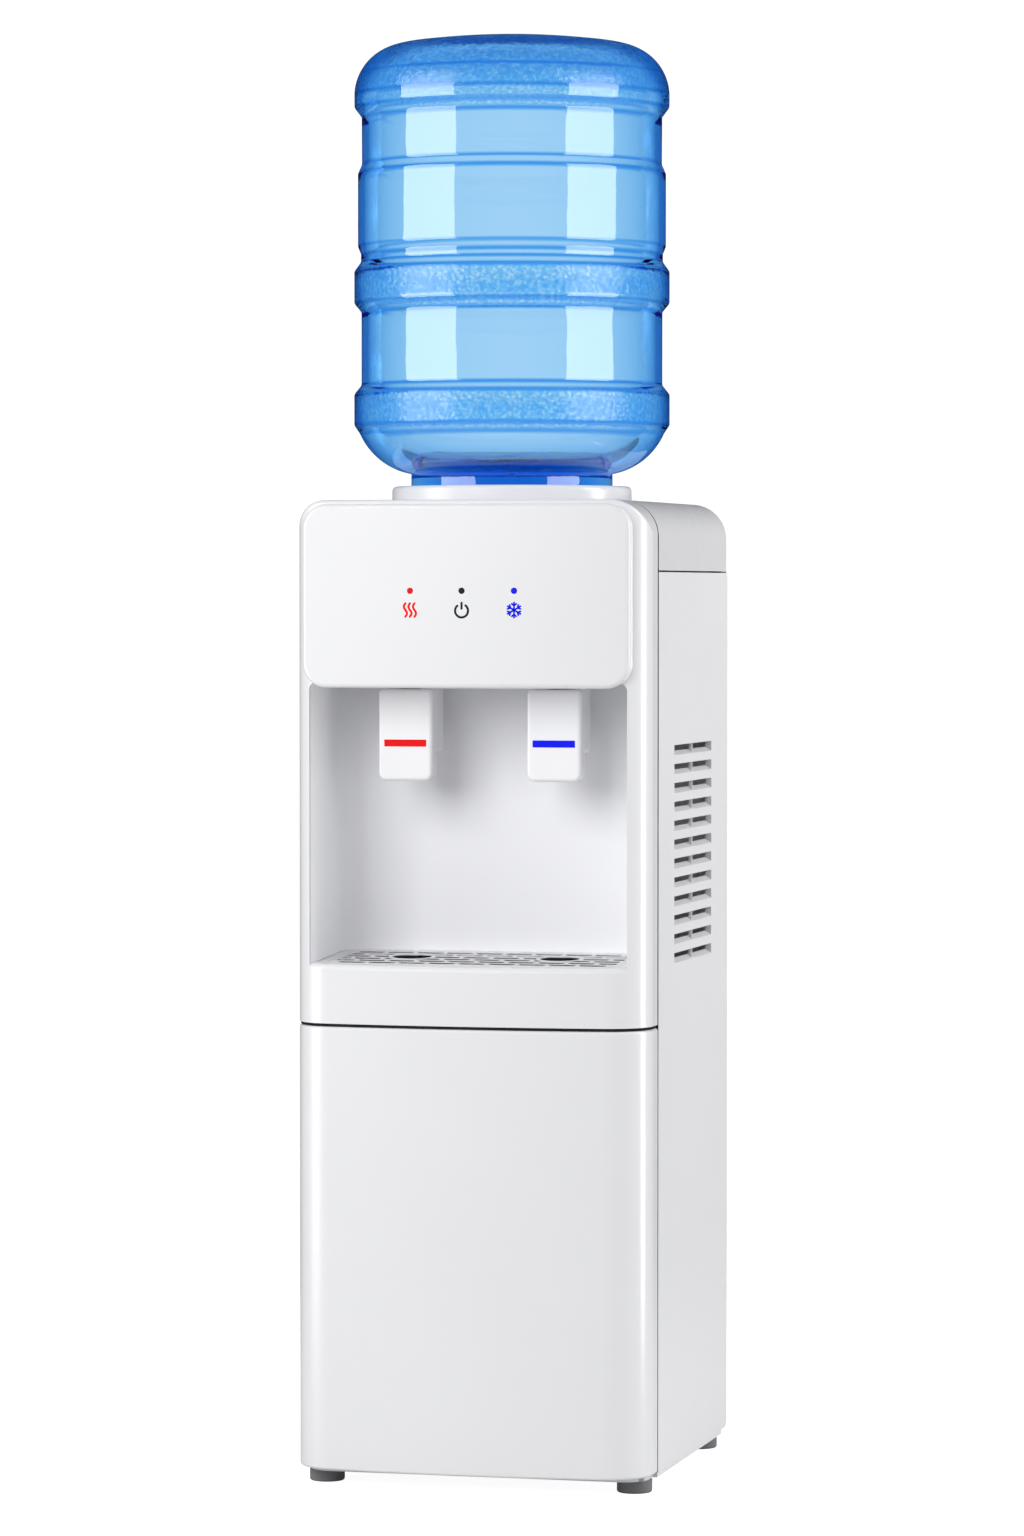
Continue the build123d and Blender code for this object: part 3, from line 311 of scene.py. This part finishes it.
def bottle_material():
    """Clear blue polycarbonate. The real wall is thin and parallel, so it bends light little and its two skins mirror the
    lamps. The bands and the crown carry a pebbled grain."""
    m, nt, b, out = new_material("bottle_blue")
    b.inputs["Transmission Weight"].default_value = 1.0
    b.inputs["IOR"].default_value = 1.10
    b.inputs["Specular IOR Level"].default_value = 0.5
    b.inputs["Coat IOR"].default_value = 1.55
    b.inputs["Coat Roughness"].default_value = 0.03
    soak = nt.nodes.new("ShaderNodeVolumeAbsorption")
    soak.inputs["Color"].default_value = (0.0, 0.575, 0.905, 1.0)
    soak.inputs["Density"].default_value = 28.5
    nt.links.new(soak.outputs["Volume"], out.inputs["Volume"])
    at = coords(nt)
    split = nt.nodes.new("ShaderNodeSeparateXYZ")
    nt.links.new(at, split.inputs["Vector"])
    z = split.outputs["Z"]
    mask = None
    for lo, hi in ((1.1885, 1.30), (1.0125, 1.0375), (0.9045, 0.9315)):
        band = maths(nt, "MULTIPLY", remap(nt, z, lo - 0.0008, lo + 0.0012, 0.0, 1.0),
                     remap(nt, z, hi - 0.0012, hi + 0.0008, 1.0, 0.0))
        mask = band if mask is None else maths(nt, "MAXIMUM", mask, band)
    # Painted shade: dark blue lines along the bottle's grooves, only on its front half (y below 0).
    lines = None
    for centre, half in ((1206.0, 1.6), (1188.0, 2.2), (1176.5, 2.6), (1168.5, 3.0), (1129.0, 2.2), (1121.0, 2.6), (1058.0, 2.0),
                         (1050.5, 2.6), (1044.0, 2.6), (1037.0, 2.6), (1009.0, 2.6), (1001.5, 3.0), (938.0, 3.0), (931.0, 2.6),
                         (904.0, 2.6), (897.0, 3.0), (864.5, 3.2)):
        away = maths(nt, "ABSOLUTE", maths(nt, "SUBTRACT", z, centre * 0.001))
        line = remap(nt, away, half * 0.0003, half * 0.001, 1.0, 0.0)
        lines = line if lines is None else maths(nt, "MAXIMUM", lines, line)
    pebble = voronoi(nt, at, 290.0, "SMOOTH_F1")
    wavy = noise(nt, at, 400.0, 2.0, 0.5, 0.8)
    grain = maths(nt, "ADD", pebble, maths(nt, "MULTIPLY", wavy, 0.8))
    slow = noise(nt, at, 30.0, 2.0)
    clear = (0.96, 0.985, 1.0)
    speck = blend(nt, remap(nt, grain, 0.66, 0.90, 0.0, 1.0), (1.0, 1.0, 1.0), (0.40, 0.73, 0.96))
    banded = blend(nt, mask, clear, speck)
    near = remap(nt, split.outputs["Y"], -0.02, 0.02, 1.0, 0.0)
    lines = maths(nt, "MULTIPLY", lines, near)
    # The groove lines darken the base colour as painted shade in the creases.
    nt.links.new(blend(nt, lines, banded, (0.14, 0.50, 0.90)), b.inputs["Base Color"])
    facing = nt.nodes.new("ShaderNodeLayerWeight")
    facing.inputs["Blend"].default_value = 0.5
    coat = remap(nt, facing.outputs["Facing"], 0.72, 0.95, 1.0, 0.0)
    coat = maths(nt, "MULTIPLY", coat, remap(nt, mask, 0.0, 1.0, 1.0, 0.45))
    nt.links.new(coat, b.inputs["Coat Weight"])
    n = bump(nt, slow, 0.0003)
    n = bump(nt, maths(nt, "MULTIPLY", grain, mask), 0.00042, under=n)
    nt.links.new(n, b.inputs["Normal"])
    nt.links.new(n, b.inputs["Coat Normal"])
    nt.links.new(maths(nt, "ADD", maths(nt, "MULTIPLY", mask, 0.03), remap(nt, slow, 0.3, 0.7, 0.01, 0.03)), b.inputs["Roughness"])
    return m


MAT["bottle_blue"] = bottle_material()

SLOT_OF = {p["node"]: p["material_slot"] for p in frame["record"]["subparts"]}
for name, obj in NODES.items():
    obj.data.materials.clear()
    own = {"alcove_liner": "alcove_white_painted_light", "hot_lever": "lever_white", "cold_lever": "lever_white"}
    obj.data.materials.append(MAT[own.get(name, SLOT_OF[name])])


# ------------------------------------------------------------------ mesh helpers
def mesh_object(name, verts, faces, material, smooth=True):
    me = bpy.data.meshes.new(name)
    me.from_pydata(verts, [], faces)
    me.validate()
    bm = bmesh.new()
    bm.from_mesh(me)
    bmesh.ops.recalc_face_normals(bm, faces=bm.faces)
    bm.to_mesh(me)
    bm.free()
    for p in me.polygons:
        p.use_smooth = smooth
    me.materials.append(material)
    o = bpy.data.objects.new(name, me)
    scene.collection.objects.link(o)
    return o


def arc3(p, q, r, n):
    """Points of the circle through p, q and r, from p to r, without p."""
    ax, ay = p
    bx, by = q
    cx, cy = r
    d = 2 * (ax * (by - cy) + bx * (cy - ay) + cx * (ay - by))
    ux = ((ax * ax + ay * ay) * (by - cy) + (bx * bx + by * by) * (cy - ay) + (cx * cx + cy * cy) * (ay - by)) / d
    uy = ((ax * ax + ay * ay) * (cx - bx) + (bx * bx + by * by) * (ax - cx) + (cx * cx + cy * cy) * (bx - ax)) / d
    rad = hypot(ax - ux, ay - uy)
    a0, a1, a2 = (atan2(y - uy, x - ux) for x, y in (p, q, r))
    turn = (a2 - a0) % (2 * pi)
    mid = (a1 - a0) % (2 * pi)
    if mid > turn:
        turn -= 2 * pi
    return [(ux + rad * cos(a0 + turn * k / n), uy + rad * sin(a0 + turn * k / n)) for k in range(1, n + 1)]


def rounded(points, radius, n=6):
    """Polyline with its inner corners rounded."""
    out = [points[0]]
    for a, b, c in zip(points, points[1:], points[2:]):
        u = (a[0] - b[0], a[1] - b[1])
        v = (c[0] - b[0], c[1] - b[1])
        lu, lv = hypot(*u), hypot(*v)
        u, v = (u[0] / lu, u[1] / lu), (v[0] / lv, v[1] / lv)
        dot = max(-1.0, min(1.0, u[0] * v[0] + u[1] * v[1]))
        half = sqrt((1 - dot) / 2)
        t = min(radius * sqrt((1 + dot) / (1 - dot)) if dot < 1 else 0, 0.48 * lu, 0.48 * lv)
        if t < 1e-6 or half > 0.9999:
            out.append(b)
            continue
        p, q = (b[0] + u[0] * t, b[1] + u[1] * t), (b[0] + v[0] * t, b[1] + v[1] * t)
        for k in range(n + 1):
            s = k / n
            out.append(((1 - s) ** 2 * p[0] + 2 * s * (1 - s) * b[0] + s * s * q[0],
                        (1 - s) ** 2 * p[1] + 2 * s * (1 - s) * b[1] + s * s * q[1]))
    out.append(points[-1])
    return out


def spaced(points, step):
    """Adds points so that no run is longer than step."""
    out = [points[0]]
    for a, b in zip(points, points[1:]):
        n = max(1, int(hypot(b[0] - a[0], b[1] - a[1]) / step + 0.999))
        for k in range(1, n + 1):
            out.append((a[0] + (b[0] - a[0]) * k / n, a[1] + (b[1] - a[1]) * k / n))
    return out


def lathe(name, profile, material, segments):
    """Solid of revolution about z. The profile starts and ends on the axis, in mm."""
    mm = 0.001
    inner = [p for p in profile if p[0] > 1e-6]
    verts, faces = [(0, 0, profile[0][1] * mm)], []
    for r, z in inner:
        for k in range(segments):
            a = 2 * pi * k / segments
            verts.append((r * cos(a) * mm, r * sin(a) * mm, z * mm))
    verts.append((0, 0, profile[-1][1] * mm))
    last = len(verts) - 1
    rows = len(inner)
    for k in range(segments):
        j = (k + 1) % segments
        faces.append((0, 1 + k, 1 + j))
        for i in range(rows - 1):
            a, b = 1 + i * segments, 1 + (i + 1) * segments
            faces.append((a + k, b + k, b + j, a + j))
        e = 1 + (rows - 1) * segments
        faces.append((e + j, e + k, last))
    return mesh_object(name, verts, faces, material)


# ------------------------------------------------------------------ bottle
def bottle_profile():
    side = [(136.0, 1190.0), (136.0, 1178.0), (129.7, 1169.5), (129.5, 1128.5), (133.0, 1120.5), (133.0, 1058.0),
            (130.4, 1051.5), (130.4, 1044.5), (136.2, 1036.5), (136.2, 1009.0), (130.0, 1001.5), (130.0, 938.5),
            (136.3, 930.5), (136.3, 904.0), (131.5, 896.8)]
    top = [(0.0, 1238.5)] + arc3((0.0, 1238.5), (50.0, 1236.6), (95.0, 1231.6), 14)
    shoulder = arc3((95.0, 1231.6), (121.5, 1220.3), (136.0, 1190.0), 22)
    dome = arc3((131.5, 896.8), (120.4, 880.0), (87.0, 862.0), 24)
    outer = top + shoulder + rounded(side, 4.6, 7)[1:] + dome
    outer = outer + rounded([(87.0, 862.0), (87.0, 842.5), (30.0, 799.5), (27.5, 796.0), (27.5, 748.0)], 2.0, 3)[1:]
    inner = [(0.0, 1227.5)] + arc3((0.0, 1227.5), (46.0, 1225.6), (86.0, 1220.6), 12)
    inner += arc3((86.0, 1220.6), (106.5, 1208.5), (119.0, 1186.0), 20)
    inner += rounded([(119.0, 1186.0), (119.0, 1177.0), (112.7, 1167.0), (112.7, 1126.0), (116.0, 1119.0), (116.0, 1059.0),
                      (113.4, 1052.5), (113.4, 1043.5), (119.2, 1035.0), (119.2, 1010.5), (113.0, 1002.5), (113.0, 937.5),
                      (119.3, 929.0), (119.3, 906.0), (114.5, 898.0)], 4.0, 6)[1:]
    inner += arc3((114.5, 898.0), (104.0, 887.0), (76.0, 874.0), 18)
    inner += rounded([(76.0, 874.0), (4.0, 870.0), (2.2, 862.0), (2.2, 834.0), (24.8, 816.0), (24.8, 796.0), (24.8, 748.0)], 2.0, 3)[1:]
    return spaced(outer, 6.0), spaced(inner, 8.0)


outer, inner = bottle_profile()
bottle = lathe("bottle_shell", outer + inner[::-1], MAT["bottle_blue"], 192)
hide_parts("water_bottle")
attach(bottle, "bottle")
bottle.visible_shadow = False

# ------------------------------------------------------------------ printed symbols on the control panel
BOW_R = (154.0 ** 2 + 12.0 ** 2) / 24.0 + 4.0
BOW_CY = -168.0 + (154.0 ** 2 + 12.0 ** 2) / 24.0
PRINT = 0.03


def on_panel(x, z, lift):
    """A point of the panel's bowed front, in metres."""
    return (x * 0.001, (BOW_CY - sqrt((BOW_R + lift) ** 2 - x * x)) * 0.001, z * 0.001)


def stroke(name, paths, width, material, body="cabinet", ends=5):
    """Thin raised print along (x, z) polylines in mm, with round ends."""
    verts, faces = [], []
    for pts, closed in paths:
        left, right = [], []
        n = len(pts)
        for i, p in enumerate(pts):
            a = pts[i - 1] if i or closed else p
            b = pts[(i + 1) % n] if i < n - 1 or closed else p
            dx, dz = b[0] - a[0], b[1] - a[1]
            d = hypot(dx, dz)
            nx, nz = -dz / d * width / 2, dx / d * width / 2
            left.append((p[0] + nx, p[1] + nz))
            right.append((p[0] - nx, p[1] - nz))
        if closed:
            rings = [(left[i], right[i]) for i in range(n)] + [(left[0], right[0])]
        else:
            rings = []
            for k in range(ends):
                a = pi / 2 * k / ends
                dx, dz = pts[1][0] - pts[0][0], pts[1][1] - pts[0][1]
                d = hypot(dx, dz)
                ux, uz = dx / d, dz / d
                c = (pts[0][0] - ux * cos(a) * width / 2, pts[0][1] - uz * cos(a) * width / 2)
                w = max(sin(a), 0.05) * width / 2
                rings.append(((c[0] - uz * w, c[1] + ux * w), (c[0] + uz * w, c[1] - ux * w)))
            rings += list(zip(left, right))
            for k in range(ends - 1, -1, -1):
                a = pi / 2 * k / ends
                dx, dz = pts[-1][0] - pts[-2][0], pts[-1][1] - pts[-2][1]
                d = hypot(dx, dz)
                ux, uz = dx / d, dz / d
                c = (pts[-1][0] + ux * cos(a) * width / 2, pts[-1][1] + uz * cos(a) * width / 2)
                w = max(sin(a), 0.05) * width / 2
                rings.append(((c[0] - uz * w, c[1] + ux * w), (c[0] + uz * w, c[1] - ux * w)))
        base = len(verts)
        for l, r in rings:
            verts += [on_panel(*l, PRINT), on_panel(*r, PRINT), on_panel(*l, -0.05), on_panel(*r, -0.05)]
        m = len(rings)
        for i in range(m - 1):
            a, b = base + 4 * i, base + 4 * (i + 1)
            faces += [(a, b, b + 1, a + 1), (a + 2, a + 3, b + 3, b + 2), (a, a + 2, b + 2, b), (a + 1, b + 1, b + 3, a + 3)]
        if not closed:
            a, b = base, base + 4 * (m - 1)
            faces += [(a, a + 1, a + 3, a + 2), (b, b + 2, b + 3, b + 1)]
    o = mesh_object(name, verts, faces, material, smooth=False)
    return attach(o, body)


ICON_Z = 744.9
wave = [(1.35 * sin(2 * pi * t / 24.0), 5.6 * (t / 12.0 - 1)) for t in range(25)]
heat_print = stroke("heat_symbol", [([(-45.0 + dx + x, ICON_Z + z) for x, z in wave], False) for dx in (-4.0, 0.0, 4.0)],
                    1.9, MAT["stripe_red"])

ring = [(5.6 * sin(radians(a)), ICON_Z - 0.6 + 5.6 * cos(radians(a))) for a in range(38, 323, 8)]
power_print = stroke("power_symbol", [(ring, False), ([(0.0, ICON_Z + 1.2), (0.0, ICON_Z + 6.0)], False)], 1.9, MAT["lens_black"])

flake = []
for k in range(6):
    a = radians(60 * k + 90)
    ux, uz = cos(a), sin(a)
    flake.append(([(45.0, ICON_Z), (45.0 + 6.3 * ux, ICON_Z + 6.3 * uz)], False))
    for s in (-1, 1):
        b = a + s * radians(48)
        vx, vz = cos(b), sin(b)
        flake.append(([(45.0 + 3.6 * ux, ICON_Z + 3.6 * uz), (45.0 + 3.6 * ux + 2.5 * vx, ICON_Z + 3.6 * uz + 2.5 * vz)], False))
cool_print = stroke("cool_symbol", flake, 1.55, MAT["stripe_blue"])

# ------------------------------------------------------------------ black strips in the casing's seams, painted shade for the shadow in the seam gaps
CASE_TOP, TOP_R, REAR_Y = 837.5, 31.0, 172.0


def casing_arch(inset, n=14):
    """Outline of the casing behind its front, from the right foot over the top to the left foot, as (x, z) in mm."""
    half, top, r = 154.0, CASE_TOP, TOP_R
    right = [(half - inset, 17.0)]
    right += [(half - r + (r - inset) * cos(pi / 2 * k / n), top - r + (r - inset) * sin(pi / 2 * k / n)) for k in range(n + 1)]
    return right + [(-x, z) for x, z in right[::-1]]


def ribbon(name, outer, inner, y0, y1, material):
    verts, faces = [], []
    for (xo, zo), (xi, zi) in zip(outer, inner):
        verts += [(xo * 0.001, y0 * 0.001, zo * 0.001), (xi * 0.001, y0 * 0.001, zi * 0.001),
                  (xi * 0.001, y1 * 0.001, zi * 0.001), (xo * 0.001, y1 * 0.001, zo * 0.001)]
    n = len(outer)
    for i in range(n - 1):
        a, b = 4 * i, 4 * (i + 1)
        faces += [(a + k, b + k, b + (k + 1) % 4, a + (k + 1) % 4) for k in range(4)]
    faces += [(0, 1, 2, 3), (4 * n - 1, 4 * n - 2, 4 * n - 3, 4 * n - 4)]
    return mesh_object(name, verts, faces, material, smooth=False)


# Painted shade: a black strip on the side panels' front edges, where the seam behind the front frame is in shadow.
casing_seam_shade = ribbon("casing_seam_painted_shade", casing_arch(0.12), casing_arch(2.5), -105.55, -105.02, MAT["black_plastic"])
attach(casing_seam_shade, "cabinet")
# Painted shade along the seam between the top cover and each side panel.
for side, label in ((1, "right"), (-1, "left")):
    pts = [(side * 153.7, 777.0), (side * 153.7, 778.0)]
    back = [(side * 151.2, 777.0), (side * 151.2, 778.0)]
    strip = ribbon("cover_seam_painted_shade_" + label, pts, back, -104.9, REAR_Y - 4.0, MAT["black_plastic"])
    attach(strip, "cabinet")

def spring_wire(name, x, y, z, height, pitch, radius, wire, material, sides=8, steps=28):
    """Closed round wire wound into a coil that rises from z, in mm."""
    count = int(steps * height / pitch)
    slope = atan2(pitch, 2 * pi * radius)
    verts, faces = [], []
    for i in range(count + 1):
        a = 2 * pi * height / pitch * i / count
        for k in range(sides):
            b = 2 * pi * k / sides
            out, up = wire * cos(b), wire * sin(b)
            verts.append(((x + (radius + out) * cos(a) + up * sin(slope) * sin(a)) * 0.001,
                          (y + (radius + out) * sin(a) - up * sin(slope) * cos(a)) * 0.001,
                          (z + height * i / count + up * cos(slope)) * 0.001))
    for i in range(count):
        r, t = sides * i, sides * (i + 1)
        faces += [(r + k, r + (k + 1) % sides, t + (k + 1) % sides, t + k) for k in range(sides)]
    faces += [tuple(range(sides))[::-1], tuple(range(sides * count, sides * count + sides))]
    return mesh_object(name, verts, faces, material)


# In the tap the return springs shorten as the stems rise against them; these wound-wire copies keep their rest length.
TAP_X, SPOUT_Y = 65.0, -74.0
for side, x in (("hot", -TAP_X), ("cold", TAP_X)):
    node = side + "_return_spring"
    wound = spring_wire(side + "_spring_wire", x, SPOUT_Y, 670.2, 8.0, 2.2, 4.4, 0.5, MAT[SLOT_OF[node]])
    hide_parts(node)
    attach(wound, "cabinet")
    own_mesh(wound)


def front_outline(inset, n=16):
    """Plan of the bowed front with its rounded corners, from the right to the left, as (x, y) in mm."""
    bow_r = (154.0 ** 2 + 12.0 ** 2) / 24.0
    bow_cy = -168.0 + bow_r
    cx = 154.0 - 38.0
    cy = bow_cy - sqrt((bow_r - 38.0) ** 2 - cx ** 2)
    turn = atan2(bow_cy - cy, cx)
    right = [(154.0 - inset, -109.0)]
    right += [(cx + (38.0 - inset) * cos(-turn * k / n), cy + (38.0 - inset) * sin(-turn * k / n)) for k in range(n + 1)]
    half = right[-1][0]
    bow = [(half * (1 - k / 12), 0) for k in range(1, 12)]
    bow = [(x, bow_cy - sqrt((bow_r - inset) ** 2 - x * x)) for x, _ in bow]
    right += bow
    return right + [(0.0, bow_cy - (bow_r - inset))] + [(-x, y) for x, y in right[::-1]]


def flat_ribbon(name, outer, inner, z0, z1, material):
    verts, faces = [], []
    for (xo, yo), (xi, yi) in zip(outer, inner):
        verts += [(xo * 0.001, yo * 0.001, z0 * 0.001), (xi * 0.001, yi * 0.001, z0 * 0.001),
                  (xi * 0.001, yi * 0.001, z1 * 0.001), (xo * 0.001, yo * 0.001, z1 * 0.001)]
    n = len(outer)
    for i in range(n - 1):
        a, b = 4 * i, 4 * (i + 1)
        faces += [(a + k, b + k, b + (k + 1) % 4, a + (k + 1) % 4) for k in range(4)]
    faces += [(0, 1, 2, 3), (4 * n - 1, 4 * n - 2, 4 * n - 3, 4 * n - 4)]
    return mesh_object(name, verts, faces, material, smooth=False)


# Painted shade: a black strip in the gap above the door, where the gap is in shadow.
door_gap_painted_shade = flat_ribbon("door_gap_painted_shade", front_outline(0.9), front_outline(3.4), 393.3, 395.15, MAT["black_plastic"])
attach(door_gap_painted_shade, "cabinet")

# ------------------------------------------------------------------ floor
LAMP = {"key_left": 0.9, "fill_right": 1.9, "side_light": 3.3, "front_key": 6.25, "lever_fill": 1.5, "edge_strip": 10.0,
        "edge_left": 3.5, "mirror_left": 6.0, "mirror_right": 6.0, "ambient": 0.335, "floor": 0.03}


def floor_material():
    """Pale seamless floor that fades into the white backdrop."""
    m, nt, b, out = new_material("floor")
    at = coords(nt)
    fine = noise(nt, at, 3.0, 3.0)
    nt.links.new(blend(nt, remap(nt, fine, 0.35, 0.65, 0.0, 1.0), (0.64, 0.64, 0.645), (0.625, 0.625, 0.63)), b.inputs["Base Color"])
    b.inputs["Roughness"].default_value = 0.7
    b.inputs["Specular IOR Level"].default_value = 0.15
    b.inputs["Emission Color"].default_value = (1, 1, 1, 1)
    seen = nt.nodes.new("ShaderNodeLightPath").outputs["Is Camera Ray"]
    nt.links.new(remap(nt, seen, 0.0, 1.0, LAMP["floor"], 0.92), b.inputs["Emission Strength"])
    length = nt.nodes.new("ShaderNodeVectorMath")
    length.operation = "LENGTH"
    nt.links.new(at, length.inputs[0])
    fade = nt.nodes.new("ShaderNodeMapRange")
    fade.interpolation_type = "SMOOTHERSTEP"
    fade.inputs["From Min"].default_value = 0.55
    fade.inputs["From Max"].default_value = 1.9
    nt.links.new(length.outputs["Value"], fade.inputs["Value"])
    clear = nt.nodes.new("ShaderNodeBsdfTransparent")
    both = nt.nodes.new("ShaderNodeMixShader")
    nt.links.new(fade.outputs["Result"], both.inputs[0])
    nt.links.new(b.outputs["BSDF"], both.inputs[1])
    nt.links.new(clear.outputs["BSDF"], both.inputs[2])
    nt.links.new(both.outputs["Shader"], out.inputs["Surface"])
    return m


segs = 96
verts = [(0, 0, 0)] + [(2 * cos(2 * pi * k / segs), 2 * sin(2 * pi * k / segs), 0) for k in range(segs)]
floor = mesh_object("floor", verts, [(0, 1 + k, 1 + (k + 1) % segs) for k in range(segs)], floor_material(), False)


# ------------------------------------------------------------------ light
def softbox(name, azimuth, distance, width, height, z, aim_z=0.7, matt=True, gloss=True, only=None):
    """Azimuth is from the front, towards the right. One that isn't matt only shows in gloss."""
    if not LAMP[name]:
        return
    d = bpy.data.lights.new(name, "AREA")
    d.shape = "RECTANGLE"
    d.size, d.size_y = width, height
    d.energy = LAMP[name] * pi * width * height
    o = bpy.data.objects.new(name, d)
    a = radians(azimuth)
    o.location = (distance * sin(a), -distance * cos(a), z)
    o.rotation_euler = (Vector((0, 0, aim_z)) - o.location).to_track_quat("-Z", "Y").to_euler()
    o.visible_camera = False
    o.visible_transmission = False
    o.visible_diffuse = matt
    o.visible_glossy = gloss
    scene.collection.objects.link(o)
    if only:
        group = bpy.data.collections.new(name + "_lights")
        for piece in only:
            group.objects.link(piece)
        o.light_linking.receiver_collection = group


CASING = [NODES[n] for n in ("front_frame", "control_panel", "cabinet_door", "top_cover", "bottle_collar", "left_side_panel",
                             "right_side_panel", "hot_lever", "cold_lever")]
softbox("key_left", -52.0, 2.4, 2.1, 2.6, 1.15, 1.15, True, False)
softbox("side_light", 101.0, 2.4, 1.9, 2.6, 1.25, 1.15, True, False)
softbox("front_key", -17.0, 2.3, 1.3, 1.3, 1.42, 0.58, True, False)
softbox("fill_right", 77.0, 2.4, 1.9, 2.6, 1.15, 1.15, True, False, [NODES["alcove_liner"]])
softbox("lever_fill", -20.0, 2.3, 1.0, 1.0, 0.72, 0.66, True, False, [NODES["hot_lever"], NODES["cold_lever"]])
softbox("mirror_left", -50.0, 2.39, 1.95, 2.6, 1.15, 1.15, False, True, [bottle])
softbox("mirror_right", 75.5, 2.39, 1.8, 2.6, 1.15, 1.15, False, True, [bottle])
softbox("edge_strip", 104.0, 2.4, 0.5, 2.6, 1.0, 1.0, False, True, CASING)
softbox("edge_left", -62.0, 2.4, 1.2, 2.6, 1.0, 1.0, False, True, CASING)

# The backdrop is white where it is looked at, straight or through clear plastic, dim as a light, and dark in gloss.
world = bpy.data.worlds.new("studio")
scene.world = world
world.use_nodes = True
wt = world.node_tree
for n in list(wt.nodes):
    wt.nodes.remove(n)
w_out = wt.nodes.new("ShaderNodeOutputWorld")
dim = wt.nodes.new("ShaderNodeBackground")
lit = wt.nodes.new("ShaderNodeBackground")
for n in (dim, lit):
    n.inputs["Color"].default_value = (1, 1, 1, 1)
lit.inputs["Strength"].default_value = 1.06
paths = wt.nodes.new("ShaderNodeLightPath")
wt.links.new(remap(wt, paths.outputs["Is Glossy Ray"], 0.0, 1.0, LAMP["ambient"], LAMP["ambient"] * 0.04), dim.inputs["Strength"])
first = maths(wt, "LESS_THAN", paths.outputs["Diffuse Depth"], 0.5)
looked = maths(wt, "MAXIMUM", paths.outputs["Is Camera Ray"], paths.outputs["Is Transmission Ray"])
mix = wt.nodes.new("ShaderNodeMixShader")
wt.links.new(maths(wt, "MULTIPLY", looked, first), mix.inputs[0])
wt.links.new(dim.outputs[0], mix.inputs[1])
wt.links.new(lit.outputs[0], mix.inputs[2])
wt.links.new(mix.outputs[0], w_out.inputs["Surface"])

scene.view_settings.view_transform = "Standard"

# ------------------------------------------------------------------ camera
cam = bpy.data.cameras.new("camera")
cam.lens = 5700.0 / 1536.0 * 36.0
cam.sensor_width = 36.0
cam.clip_end = 200.0
eye = bpy.data.objects.new("camera", cam)
eye.location = (1.2112, -4.7865, 0.760)
eye.rotation_euler = (radians(90.0 - 1.7687), 0.0, radians(14.2))
scene.collection.objects.link(eye)
scene.camera = eye
